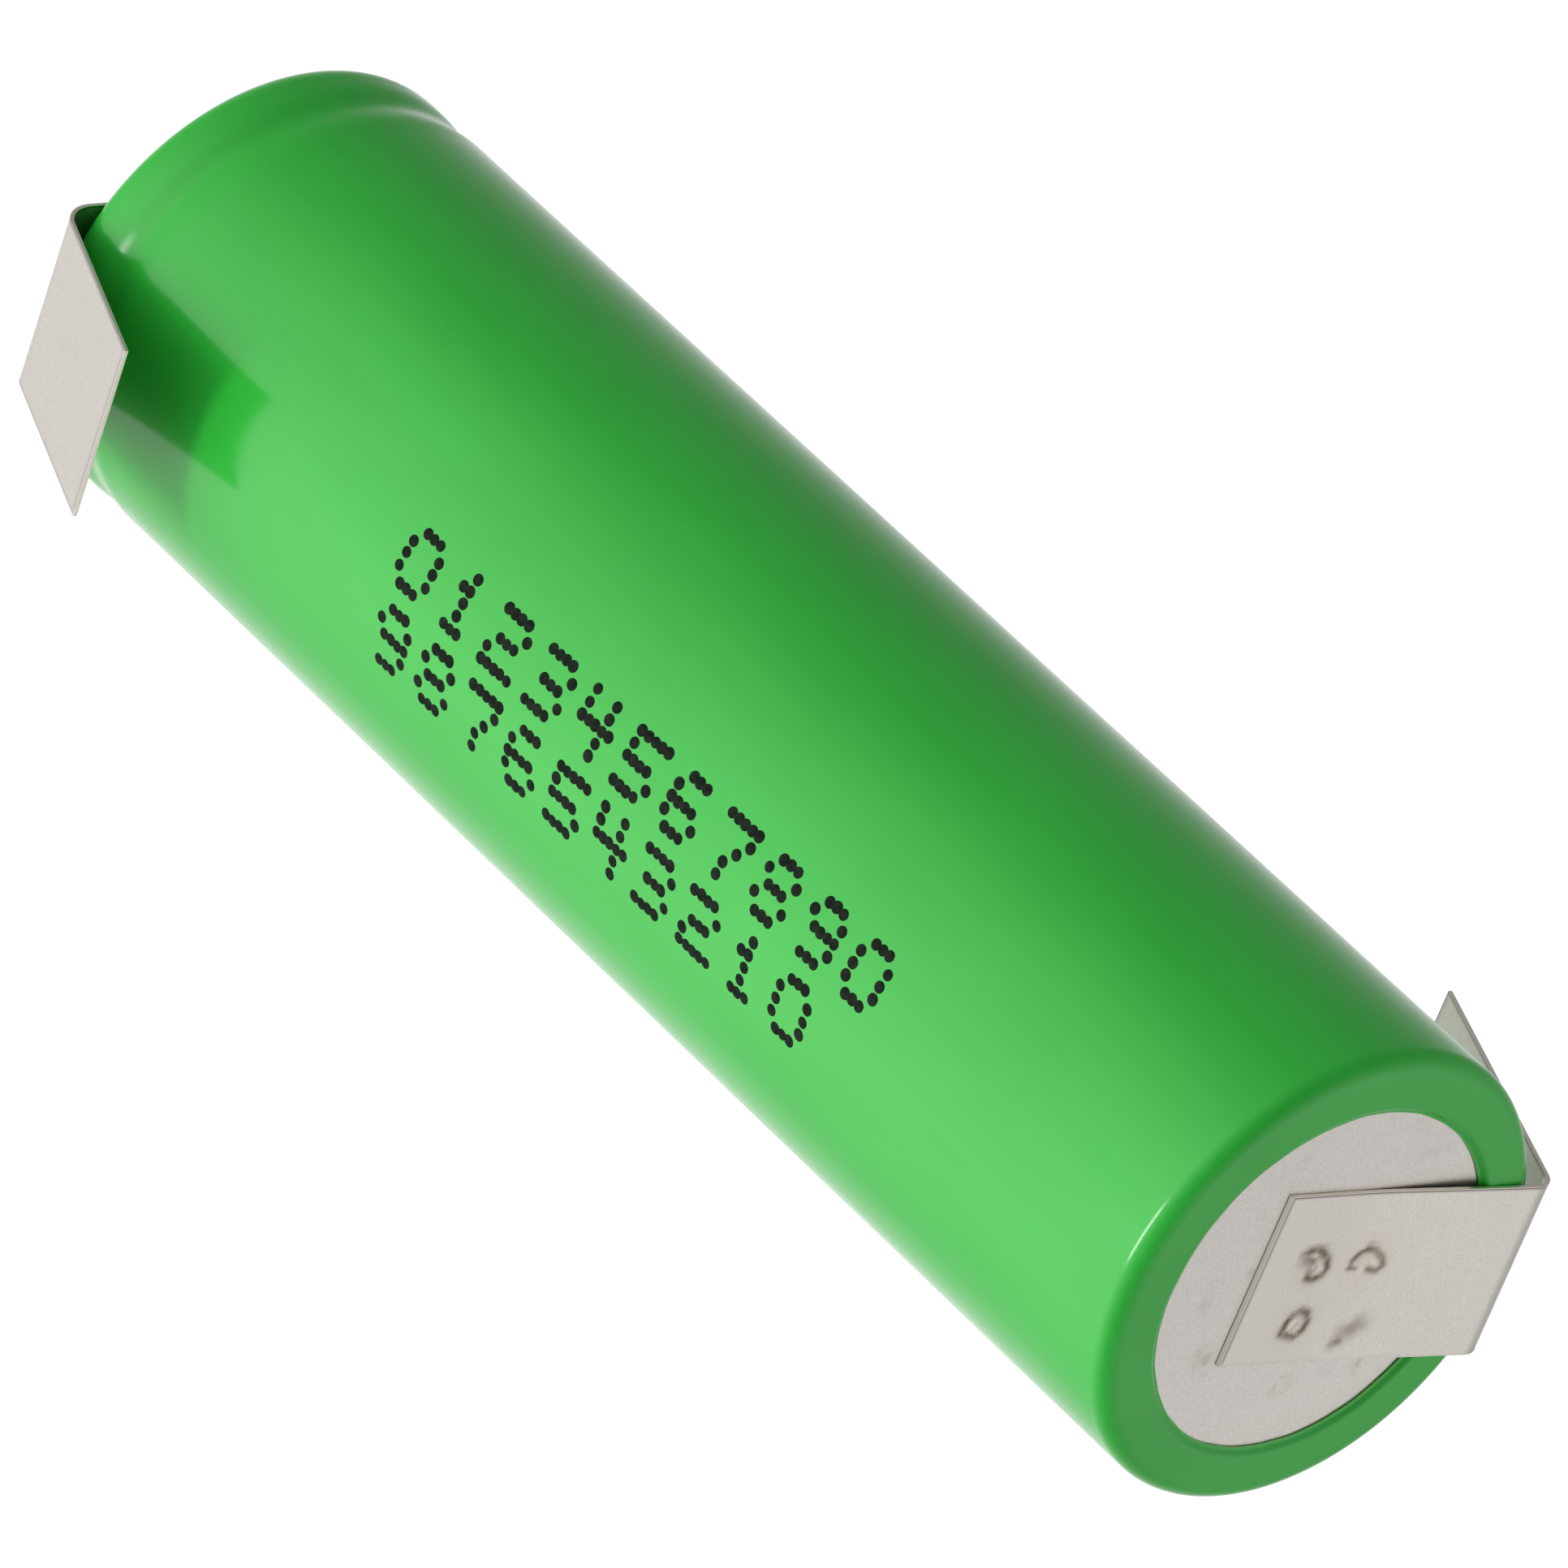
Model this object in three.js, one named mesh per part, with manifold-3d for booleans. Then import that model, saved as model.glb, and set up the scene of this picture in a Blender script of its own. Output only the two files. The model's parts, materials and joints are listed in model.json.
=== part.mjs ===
// Cylindrical lithium-ion cell, 18650 size, in a shrink sleeve and with a solder tab on each end.
// Millimetres. The cell lies on its side on the plane z = 0 and points its positive end along +X.
// It is drawn upright, along its own axis, with the negative end at height 0, and then laid down.
import * as THREE from 'three';
import { mergeVertices } from 'three/addons/utils/BufferGeometryUtils.js';
import Module from 'manifold-3d';

const wasm = await Module();
wasm.setup();

// Driving dimensions
const CELL_LENGTH = 65;
const CELL_RADIUS = 9.2;
const GAP = 0.03; // between pieces that touch
const SIDES = 32; // flats round every turned piece

const FILM = 0.12; // sleeve
const NEGATIVE_CORNER = 0.8; // outer radius of the edge at each end
const POSITIVE_CORNER = 1.25;
const NEGATIVE_LIP_RADIUS = 6.9;
const POSITIVE_LIP_RADIUS = 7.2;
const RECESS_DEPTH = 0.25; // of the can's bottom, and of the lip's inner edge below the end plane
const LIP_FALL = 0.45; // breadth of the band where the lip falls to its inner edge

const WALL = 0.25; // can
const CAN_RECESS_RADIUS = 7.1;
const CAN_RIM_RADIUS = 7.7; // inner edge of the ring it stands on
const CRIMP_RADIUS = 1.1;
const CRIMP_LIP_RADIUS = 6.9;
const BEAD_HEIGHT = 62;
const BEAD_WIDTH = 1.5;
const BEAD_DEPTH = 0.85;
const SLEEVE_DIP = 0.2; // of the film over the bead

const TAB_WIDTH = 7;
const TAB_THICKNESS = 0.15;
const TAB_SIDE_SHIFT = 0.17;
const TAB_INNER_END = -3.1;
const TAB_RISE = [2.6, 6.2]; // where the welded leg leaves the end face and where it clears the lip
const HINGE_GAP = 0.05;
// lean from the cell's axis and turn round it, in degrees; bend is where the arc of that inner radius starts
const NEGATIVE_TAB = { lean: 23.6, leg: 12, bend: 8.43, radius: 1, lift: 0.12, turn: 0 };
const POSITIVE_TAB = { lean: 22.4, leg: 8.7, bend: 8.05, radius: 1.5, lift: 0.15, turn: 174.6 };

const CAP_FLANGE_RADIUS = 8.15;
const CAP_FLAT_RADIUS = 4.9;
const CAP_SLOPE = 0.4; // breadth of its sloping side
const VENT_COUNT = 4;
const VENT_RADIUS = 0.45;
const PTC_RADII = [5, 8.1];
const BURST_RADIUS = 7.8;
const BURST_DISH = [2.2, 2.9]; // flat centre and start of the dish
const CONTACT_RADIUS = 6.5;
const CONTACT_HOLES = { count: 6, radius: 0.7, circle: 4 };
const CID_RING_INNER = 5.4;
const WASHER_RADII = [5.9, 7.9];

const ROLL_BOTTOM = 1.25;
const ROLL_TOP = 58.9;
const ROLL_TURNS = 5.25;
const ROLL_PITCH = 1.1;
const STEPS_PER_TURN = 16;
const CORE_RADIUS = 1.7;

// Heights and radii that follow from them
const CAN_RADIUS = CELL_RADIUS - FILM - GAP;
const CAN_INNER_RADIUS = CAN_RADIUS - WALL;
const CAN_RIM = FILM + GAP; // height of the can's lowest ring
const CAN_FLOOR = CAN_RIM + RECESS_DEPTH; // underside of its recessed bottom
const WASHER = 0.19;
const CAN_TOP = CELL_LENGTH - FILM - WASHER - 3 * GAP;
const GASKET = 0.3;
const GASKET_TOP = CAN_TOP - WALL - GAP;
const GASKET_BASE = 62.75;
const GASKET_RADII = [6.6, 6.9, 7.85]; // folded edge, opening, start of the outer wall
const STACK_BASE = GASKET_BASE + GASKET + 0.05;
const DISC = 0.2; // burst disc
const PTC = 0.25;
const CAP = 0.3;
const PTC_BASE = STACK_BASE + DISC + GAP;
const CAP_FLANGE_TOP = PTC_BASE + PTC + GAP + CAP;
const CAP_TOP = CELL_LENGTH - 0.18;
const CONTACT_TOP = 62.35;
const CONTACT = 0.25;
const RAD = Math.PI / 180;

// Where the cell touches the ground when it lies on its side and on a corner of the negative tab:
// the angle by which that tab points below the horizontal.
const negativeLegEnd = legEnd(NEGATIVE_TAB);
const tabEdge = TAB_WIDTH / 2 - TAB_SIDE_SHIFT;
const ROLL_ANGLE = Math.asin(CELL_RADIUS / Math.hypot(negativeLegEnd, tabEdge))
  - Math.atan2(tabEdge, negativeLegEnd);

// Outlines: points [r, z] or [r, z, corner radius], with corners turned into short arcs
function rounded(corners, steps = 3) {
  const points = [];
  corners.forEach(([x, y, radius = 0], i) => {
    if (!radius) {
      points.push(new THREE.Vector2(x, y));
      return;
    }
    const corner = new THREE.Vector2(x, y);
    const before = new THREE.Vector2(...corners[i - 1].slice(0, 2)).sub(corner).normalize();
    const after = new THREE.Vector2(...corners[i + 1].slice(0, 2)).sub(corner).normalize();
    const half = Math.acos(THREE.MathUtils.clamp(before.dot(after), -1, 1)) / 2;
    const centre = before.clone().add(after).normalize().multiplyScalar(radius / Math.sin(half)).add(corner);
    const start = before.clone().multiplyScalar(radius / Math.tan(half)).add(corner).sub(centre);
    const turn = Math.sign(after.cross(before)) * (Math.PI - 2 * half);
    for (let k = 0; k <= steps; k += 1) {
      points.push(start.clone().rotateAround(new THREE.Vector2(), turn * k / steps).add(centre));
    }
  });
  return points;
}

// The same line moved sideways, to its left, by a distance
function offset(points, distance) {
  return points.map((point, i) => {
    const back = i > 0 ? point.clone().sub(points[i - 1]).normalize() : null;
    const ahead = i < points.length - 1 ? points[i + 1].clone().sub(point).normalize() : null;
    const a = back ?? ahead;
    const b = ahead ?? back;
    const mitre = new THREE.Vector2(-a.y - b.y, a.x + b.x).normalize();
    const stretch = mitre.dot(new THREE.Vector2(-a.y, a.x));
    return point.clone().addScaledVector(mitre, distance / stretch);
  });
}

// A turned piece: the outline closes on itself or runs from axis to axis, with its flats on the true radius
function turned(outline) {
  const across = 1 / Math.cos(Math.PI / SIDES);
  const profile = outline.map((p) => new THREE.Vector2(p.x * across, p.y));
  if (profile[0].x > 0) profile.push(profile[0].clone());
  const down = Math.PI / 2 - ROLL_ANGLE; // the direction of the ground once the cell is laid down
  const geometry = new THREE.LatheGeometry(profile, SIDES, down + Math.PI / 2 + Math.PI / SIDES);
  return geometry.rotateX(Math.PI / 2);
}

// A sheet-metal or film shell of one thickness, given by its outer line
function shell(corners, thickness, steps = 3) {
  const outer = rounded(corners, steps);
  const inner = offset(outer, thickness);
  return turned([...outer, ...inner.reverse()]);
}

function ring(innerRadius, outerRadius, bottom, top) {
  const corners = [[innerRadius, bottom], [outerRadius, bottom], [outerRadius, top], [innerRadius, top]];
  return turned(corners.map(([r, z]) => new THREE.Vector2(r, z)));
}

// A strip that follows a line [x, z] seen from the side; its thickness is to the left of the line
function strip(corners, thickness, width, steps = 3) {
  const line = rounded(corners, steps);
  const shape = new THREE.Shape([...line, ...offset(line, thickness).reverse()]);
  const geometry = new THREE.ExtrudeGeometry(shape, { depth: width, bevelEnabled: false });
  return geometry.translate(0, 0, -width / 2).rotateX(Math.PI / 2);
}

function post(radius, x, y, bottom, top) {
  const geometry = new THREE.CylinderGeometry(radius, radius, top - bottom, 12);
  return geometry.rotateX(Math.PI / 2).translate(x, y, (bottom + top) / 2);
}

// Boolean cuts
function toSolid(geometry) {
  const plain = geometry.clone();
  plain.deleteAttribute('normal');
  plain.deleteAttribute('uv');
  const merged = mergeVertices(plain, 1e-4);
  return new wasm.Manifold(new wasm.Mesh({
    numProp: 3,
    vertProperties: Float32Array.from(merged.attributes.position.array),
    triVerts: Uint32Array.from(merged.index.array),
  }));
}

function cut(geometry, cutters) {
  const solid = cutters.reduce((rest, cutter) => rest.subtract(toSolid(cutter)), toSolid(geometry));
  const { vertProperties, triVerts } = solid.getMesh();
  const result = new THREE.BufferGeometry();
  result.setAttribute('position', new THREE.BufferAttribute(vertProperties, 3));
  result.setIndex(new THREE.BufferAttribute(triVerts, 1));
  result.computeVertexNormals();
  return result;
}

// Evenly spaced places on a circle
function circle(count, radius, make) {
  return Array.from({ length: count }, (_, i) => {
    const angle = 2 * Math.PI * (i + 0.5) / count;
    return make(radius * Math.cos(angle), radius * Math.sin(angle));
  });
}

// Materials
function finish(color, roughness, metalness) {
  return new THREE.MeshStandardMaterial({ color, roughness, metalness });
}
const GREEN_FILM = () => finish(0x4cb854, 0.18, 0);
const STEEL = () => finish(0xb9b5b0, 0.42, 1);
const NICKEL = () => finish(0xc8c2b8, 0.35, 1);
const ALUMINIUM = () => finish(0xd0d2d4, 0.4, 1);
const WHITE_PLASTIC = () => finish(0xe9e7df, 0.5, 0);

const cell = new THREE.Group();

function add(name, geometry, material, parent = cell) {
  const mesh = new THREE.Mesh(geometry, material);
  mesh.name = name;
  parent.add(mesh);
  return mesh;
}

// Sleeve: folded over both ends, with a shallow dip where it spans the can's bead
function sleeveGeometry() {
  return shell([
    [NEGATIVE_LIP_RADIUS, RECESS_DEPTH],
    [NEGATIVE_LIP_RADIUS + LIP_FALL / 4, RECESS_DEPTH],
    [NEGATIVE_LIP_RADIUS + LIP_FALL, 0],
    [CELL_RADIUS, 0, NEGATIVE_CORNER],
    [CELL_RADIUS, BEAD_HEIGHT - BEAD_WIDTH / 2],
    [CELL_RADIUS - SLEEVE_DIP, BEAD_HEIGHT],
    [CELL_RADIUS, BEAD_HEIGHT + BEAD_WIDTH / 2],
    [CELL_RADIUS, CELL_LENGTH, POSITIVE_CORNER],
    [POSITIVE_LIP_RADIUS, CELL_LENGTH],
  ], FILM);
}

// Can: recessed bottom, bead groove that carries the gasket, and the rim crimped over it
function canGeometry() {
  const nose = CAN_RADIUS - BEAD_DEPTH;
  return shell([
    [0, CAN_FLOOR],
    [CAN_RECESS_RADIUS, CAN_FLOOR],
    [CAN_RIM_RADIUS, CAN_RIM],
    [CAN_RADIUS, CAN_RIM, NEGATIVE_CORNER - CAN_RIM],
    [CAN_RADIUS, BEAD_HEIGHT - BEAD_WIDTH / 2],
    [nose, BEAD_HEIGHT - BEAD_WIDTH / 6],
    [nose, BEAD_HEIGHT + BEAD_WIDTH / 6],
    [CAN_RADIUS, BEAD_HEIGHT + BEAD_WIDTH / 2],
    [CAN_RADIUS, CAN_TOP, CRIMP_RADIUS],
    [CRIMP_LIP_RADIUS, CAN_TOP],
  ], WALL);
}

// Gasket: sits on the bead, lines the wall and is folded over the cap's flange by the crimp
function gasketGeometry() {
  const outer = CAN_INNER_RADIUS - GAP;
  const [foldedEdge, opening, wallStart] = GASKET_RADII;
  return shell([
    [opening, GASKET_BASE],
    [wallStart, GASKET_BASE],
    [outer, GASKET_BASE + 0.55],
    [outer, GASKET_TOP, outer - CAN_RADIUS + CRIMP_RADIUS],
    [foldedEdge, GASKET_TOP],
  ], GASKET);
}

// Cap: a hat with a flat top for the tab and gas holes in its sloping side
function capGeometry() {
  const hat = shell([
    [CAP_FLANGE_RADIUS, CAP_FLANGE_TOP],
    [CAP_FLAT_RADIUS + CAP_SLOPE, CAP_FLANGE_TOP],
    [CAP_FLAT_RADIUS, CAP_TOP],
    [0, CAP_TOP],
  ], CAP);
  const drill = (x, y) => post(VENT_RADIUS, x, y, CAP_FLANGE_TOP - 1, CAP_TOP + 1);
  return cut(hat, circle(VENT_COUNT, CAP_FLAT_RADIUS + CAP_SLOPE / 2, drill));
}

// Burst disc: a thin dished vent plate whose centre meets the contact disc
function burstDiscGeometry() {
  const [centre, dish] = BURST_DISH;
  return shell([
    [BURST_RADIUS, STACK_BASE + DISC],
    [dish, STACK_BASE + DISC],
    [centre, CONTACT_TOP + 0.05 + DISC],
    [0, CONTACT_TOP + 0.05 + DISC],
  ], DISC);
}

function contactDiscGeometry() {
  const { count, radius, circle: centres } = CONTACT_HOLES;
  const disc = ring(0, CONTACT_RADIUS, CONTACT_TOP - CONTACT, CONTACT_TOP);
  return cut(disc, circle(count, centres, (x, y) => post(radius, x, y, CONTACT_TOP - 1, CONTACT_TOP + 1)));
}

add('shrink_sleeve', sleeveGeometry(), GREEN_FILM());
add('steel_can', canGeometry(), STEEL());
add('crimp_gasket', gasketGeometry(), finish(0x2b2d30, 0.6, 0));
add('positive_cap', capGeometry(), NICKEL());
add('ptc_ring', ring(...PTC_RADII, PTC_BASE, PTC_BASE + PTC), finish(0x3a3a3c, 0.7, 0));
add('burst_disc', burstDiscGeometry(), ALUMINIUM());
const cidRing = ring(CID_RING_INNER, CONTACT_RADIUS, CONTACT_TOP + GAP, STACK_BASE - GAP);
add('cid_insulator_ring', cidRing, WHITE_PLASTIC());
add('cid_contact_disc', contactDiscGeometry(), ALUMINIUM());
const washer = ring(...WASHER_RADII, CAN_TOP + GAP, CAN_TOP + GAP + WASHER);
add('top_insulating_washer', washer, WHITE_PLASTIC());

// Insulators above and below the roll; the upper one has a window for the lead
const LEAD = 0.12;
const POSITIVE_LEAD_RADIUS = 4.4;
const NEGATIVE_LEAD_RADIUS = 7.87;
const CORE_HOLE = 1.6;
const UPPER_INSULATOR = { outer: 8.6, bottom: 59.7, top: 60 };
const LOWER_INSULATOR = { outer: 7.4, bottom: 0.86, top: 1.1 };
function insulator({ outer, bottom, top }) {
  return ring(CORE_HOLE, outer, bottom, top);
}
const leadWindow = new THREE.BoxGeometry(1.6, 4.4, 2);
leadWindow.translate(POSITIVE_LEAD_RADIUS, 0, UPPER_INSULATOR.top);
add('upper_insulator_disc', cut(insulator(UPPER_INSULATOR), [leadWindow]), finish(0xd8c9a4, 0.7, 0));
add('lower_insulator_disc', insulator(LOWER_INSULATOR), finish(0xd8c9a4, 0.7, 0));

// Wound roll: four sheets that share one spiral, each starting outside the one before
function sheet(start, thickness, bottom, top) {
  const steps = Math.round(ROLL_TURNS * STEPS_PER_TURN);
  const inner = [];
  const outer = [];
  for (let k = 0; k <= steps; k += 1) {
    const angle = 2 * Math.PI * k / STEPS_PER_TURN;
    const radius = start + ROLL_PITCH * k / STEPS_PER_TURN;
    const direction = new THREE.Vector2(Math.cos(angle), Math.sin(angle));
    inner.push(direction.clone().multiplyScalar(radius));
    outer.push(direction.clone().multiplyScalar(radius + thickness));
  }
  const shape = new THREE.Shape([...outer, ...inner.reverse()]);
  const options = { depth: top - bottom, bevelEnabled: false };
  return new THREE.ExtrudeGeometry(shape, options).translate(0, 0, bottom);
}

const SEPARATOR = 0.1;
const CATHODE = 0.36;
const ANODE = 0.34;
const LAYER_GAP = (ROLL_PITCH - 2 * SEPARATOR - CATHODE - ANODE) / 4;
const layers = [
  ['inner_separator', SEPARATOR, 0, finish(0xf0efe8, 0.6, 0)],
  ['cathode_sheet', CATHODE, 0.75, finish(0x3b3a3c, 0.8, 0.1)],
  ['outer_separator', SEPARATOR, 0, finish(0xf0efe8, 0.6, 0)],
  ['anode_sheet', ANODE, 0.45, finish(0x55504b, 0.8, 0.1)],
];
let layerStart = CORE_RADIUS;
for (const [name, thickness, shorter, material] of layers) {
  add(name, sheet(layerStart, thickness, ROLL_BOTTOM + shorter, ROLL_TOP - shorter), material);
  layerStart += thickness + LAYER_GAP;
}
const TAPE_RADII = [8.62, 8.72];
const TAPE_SHORTER = 0.15; // than the roll, at each end
const tape = ring(...TAPE_RADII, ROLL_BOTTOM + TAPE_SHORTER, ROLL_TOP - TAPE_SHORTER);
add('winding_tape', tape, finish(0x6f93c4, 0.5, 0));

// Centre pin: a tube rolled from sheet, open along one side
function centrePinGeometry() {
  const slit = 15 * RAD;
  const outer = 1.4;
  const inner = 1.1;
  const shorter = 0.75; // than the roll, at each end
  const shape = new THREE.Shape();
  shape.absarc(0, 0, outer, slit, 2 * Math.PI - slit, false);
  shape.absarc(0, 0, inner, 2 * Math.PI - slit, slit, true);
  const options = { depth: ROLL_TOP - ROLL_BOTTOM - 2 * shorter, bevelEnabled: false, curveSegments: 12 };
  return new THREE.ExtrudeGeometry(shape, options).translate(0, 0, ROLL_BOTTOM + shorter);
}
add('centre_pin', centrePinGeometry(), STEEL());

// Leads from the roll: aluminium up to the contact disc, nickel down to the can's floor
const leadCeiling = CONTACT_TOP - CONTACT - GAP;
add('positive_lead', strip([
  [POSITIVE_LEAD_RADIUS, ROLL_TOP + 0.1],
  [POSITIVE_LEAD_RADIUS, leadCeiling - LEAD, 0.4],
  [0.6, leadCeiling - LEAD],
], -LEAD, 3), ALUMINIUM());
const leadFloor = CAN_FLOOR + WALL + GAP;
add('negative_lead', strip([
  [-1.5, leadFloor],
  [NEGATIVE_LEAD_RADIUS, leadFloor, 0.3],
  [NEGATIVE_LEAD_RADIUS, ROLL_BOTTOM - 0.05],
], LEAD, 4), NICKEL());

// Solder tabs. In a tab's own frame x runs outward from the axis and z away from the end face.
// The welded leg steps over the sleeve's lip and curls round the bend; the free leg starts there.
function legEnd({ lean, leg, bend, radius }) {
  const hinge = bend + (radius + TAB_THICKNESS) * Math.cos(lean * RAD);
  return hinge + leg * Math.sin(lean * RAD);
}

function solderTab(pole, { lean, leg, bend, radius, lift, turn }, weldHeight, up) {
  const frame = new THREE.Group();
  const outerRadius = radius + TAB_THICKNESS;
  const bent = (90 - lean) * RAD;
  const top = lift + TAB_THICKNESS; // outer face over the lip, from the end plane
  const line = [
    new THREE.Vector2(TAB_INNER_END, weldHeight),
    new THREE.Vector2(TAB_RISE[0], weldHeight),
    new THREE.Vector2(TAB_RISE[1], lift),
  ];
  const steps = 6;
  for (let k = 0; k <= steps; k += 1) {
    const angle = bent * k / steps;
    line.push(new THREE.Vector2(
      bend + radius * Math.sin(angle),
      top - outerRadius + radius * Math.cos(angle),
    ));
  }
  const shape = new THREE.Shape([...line, ...offset(line, TAB_THICKNESS).reverse()]);
  const welded = new THREE.ExtrudeGeometry(shape, { depth: TAB_WIDTH, bevelEnabled: false });
  welded.translate(0, 0, -TAB_WIDTH / 2).rotateX(Math.PI / 2);
  add(`${pole}_tab_weld_leg`, welded, NICKEL(), frame);

  // The free leg's frame sits on its hinge line, on the outer face where the bend ends
  const freeLeg = new THREE.BoxGeometry(leg - HINGE_GAP, TAB_WIDTH, TAB_THICKNESS);
  freeLeg.translate((leg + HINGE_GAP) / 2, 0, -TAB_THICKNESS / 2);
  const hinged = add(`${pole}_tab_free_leg`, freeLeg, NICKEL(), frame);
  hinged.position.x = bend + outerRadius * Math.sin(bent);
  hinged.position.z = top - outerRadius + outerRadius * Math.cos(bent);
  hinged.rotation.y = bent;

  const placed = new THREE.Group();
  frame.position.y = TAB_SIDE_SHIFT;
  placed.add(frame);
  placed.rotation.set(up ? 0 : Math.PI, 0, turn * RAD);
  placed.position.z = up ? CELL_LENGTH : 0;
  cell.add(placed);
}

solderTab('negative', NEGATIVE_TAB, -(CAN_FLOOR - GAP), false);
solderTab('positive', POSITIVE_TAB, CAP_TOP + GAP - CELL_LENGTH, true);

// Lay the cell down: its axis along X, the negative tab below the horizontal on the -Y side
const rolled = new THREE.Group();
rolled.rotation.z = ROLL_ANGLE - Math.PI / 2;
rolled.add(cell);
const group = new THREE.Group();
group.rotation.y = Math.PI / 2;
group.add(rolled);

// Stand it on z = 0 with the middle of its bounding box above the origin
group.updateMatrixWorld(true);
const box = new THREE.Box3().setFromObject(group, true);
const middle = box.getCenter(new THREE.Vector3());
group.position.set(-middle.x, -middle.y, -box.min.z);

export default group;
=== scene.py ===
"""Cylindrical lithium-ion cell in a green shrink sleeve with a nickel solder tab on each end.

The turned pieces and the print are drawn in the cell's own frame, in millimetres: z runs along the axis
from the negative end, and x points to the side where the negative tab leaves. to_row() lays them down in
the row frame, which is the CAD model's. Each tab is drawn in a frame of its own.
"""
import json
import math
import random

import bmesh
import bpy
import numpy as np
from mathutils import Matrix, Vector

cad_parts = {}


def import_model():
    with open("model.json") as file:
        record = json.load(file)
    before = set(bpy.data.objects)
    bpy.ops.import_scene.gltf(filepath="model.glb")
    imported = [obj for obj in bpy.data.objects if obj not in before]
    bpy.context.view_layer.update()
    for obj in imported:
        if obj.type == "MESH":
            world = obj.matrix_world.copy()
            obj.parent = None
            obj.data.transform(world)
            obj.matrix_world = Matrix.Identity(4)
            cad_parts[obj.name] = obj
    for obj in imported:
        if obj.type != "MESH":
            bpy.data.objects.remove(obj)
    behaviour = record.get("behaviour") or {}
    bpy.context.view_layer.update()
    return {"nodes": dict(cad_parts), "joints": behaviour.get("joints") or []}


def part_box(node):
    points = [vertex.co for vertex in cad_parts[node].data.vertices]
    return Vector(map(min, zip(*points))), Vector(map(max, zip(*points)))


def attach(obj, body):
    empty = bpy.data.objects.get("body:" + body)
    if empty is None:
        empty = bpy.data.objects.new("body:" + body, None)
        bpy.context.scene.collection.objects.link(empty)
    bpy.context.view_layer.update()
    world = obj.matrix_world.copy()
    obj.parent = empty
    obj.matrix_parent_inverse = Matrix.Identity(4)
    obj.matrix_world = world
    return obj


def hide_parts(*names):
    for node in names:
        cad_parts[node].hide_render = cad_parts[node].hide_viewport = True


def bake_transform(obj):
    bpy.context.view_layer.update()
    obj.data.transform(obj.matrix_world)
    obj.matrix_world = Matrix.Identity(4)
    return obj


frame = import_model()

MM = 0.001
SEGMENTS = 288  # round a turned piece
ARC_STEP = math.radians(9)  # between the points of a rounded corner
ON_AXIS = 1e-9  # an outline's point nearer the axis than this is a single vertex
SHARP_ANGLE = math.radians(32)  # edges sharper than this aren't smoothed over


def joint(name):
    return next(j for j in frame["joints"] if j["name"] == name)


# The cell's frame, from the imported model
sleeve_low, sleeve_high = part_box("shrink_sleeve")
AXIS = Vector((1, 0, 0))
SIDE = Vector(joint("negative_tab_bend")["axis"]).normalized()
EXIT = SIDE.cross(AXIS)
ORIGIN = Vector((sleeve_low.x, (sleeve_low.y + sleeve_high.y) / 2, (sleeve_low.z + sleeve_high.z) / 2))
LENGTH = (sleeve_high.x - sleeve_low.x) / MM
RADIUS = (sleeve_high.z - sleeve_low.z) / 2 / MM
TO_ROW = np.array([EXIT, SIDE, AXIS]) * MM


def to_row(points):
    """Points (n, 3) of the cell's frame, in the row frame in metres."""
    return np.asarray(points, float) @ TO_ROW + np.array(ORIGIN)


def height(node, end):
    """A CAD node's lowest (0) or highest (1) place along the cell's axis, in millimetres."""
    return (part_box(node)[end].x - ORIGIN.x) / MM


def node_radius(node):
    low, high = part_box(node)
    return (high.z - low.z) / 2 / MM


# Outlines ---------------------------------------------------------------------------------------------

def rounded(corners):
    """Points (r, z) or (r, z, radius), with those corners turned into arcs."""
    points = []
    for i, corner in enumerate(corners):
        here = np.array(corner[:2], float)
        if len(corner) < 3:
            points.append(here)
            continue
        back = np.array(corners[i - 1][:2]) - here
        ahead = np.array(corners[i + 1][:2]) - here
        back, ahead = back / np.linalg.norm(back), ahead / np.linalg.norm(ahead)
        half = math.acos(np.clip(back @ ahead, -1, 1)) / 2
        bisector = (back + ahead) / np.linalg.norm(back + ahead)
        centre = here + bisector * corner[2] / math.sin(half)
        start = here + back * corner[2] / math.tan(half) - centre
        turn = math.copysign(math.pi - 2 * half, ahead[0] * back[1] - ahead[1] * back[0])
        count = max(2, math.ceil(abs(turn) / ARC_STEP))
        for angle in np.linspace(0, turn, count + 1):
            c, s = math.cos(angle), math.sin(angle)
            points.append(centre + [c * start[0] - s * start[1], s * start[0] + c * start[1]])
    return np.array(points)


def offset(points, distance):
    """The line moved to its left."""
    step = np.diff(points, axis=0)
    step /= np.linalg.norm(step, axis=1)[:, None]
    before = np.vstack([step[:1], step])
    after = np.vstack([step, step[-1:]])
    left = np.stack([-(before + after)[:, 1], (before + after)[:, 0]], axis=1)
    left /= np.linalg.norm(left, axis=1)[:, None]
    stretch = -left[:, 0] * before[:, 1] + left[:, 1] * before[:, 0]
    return points + left * (distance / stretch)[:, None]


def shell(corners, thickness):
    """A closed outline of a sheet whose outer face follows the corners."""
    outer = rounded(corners)
    return np.vstack([outer, offset(outer, thickness)[::-1]])


# Meshes -----------------------------------------------------------------------------------------------

def piece(name, points, faces, material, body="cell", nodes=()):
    """A smooth-shaded mesh in the row frame that rides on a body and stands for CAD nodes."""
    mesh = bpy.data.meshes.new(name)
    mesh.from_pydata([tuple(p) for p in points], [], faces)
    mesh.validate()
    mesh.shade_smooth()
    mesh.set_sharp_from_angle(angle=SHARP_ANGLE)
    mesh.materials.append(material)
    obj = bpy.data.objects.new(name, mesh)
    bpy.context.scene.collection.objects.link(obj)
    if nodes:
        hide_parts(*nodes)
    if body:
        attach(obj, body)
    return obj


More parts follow.
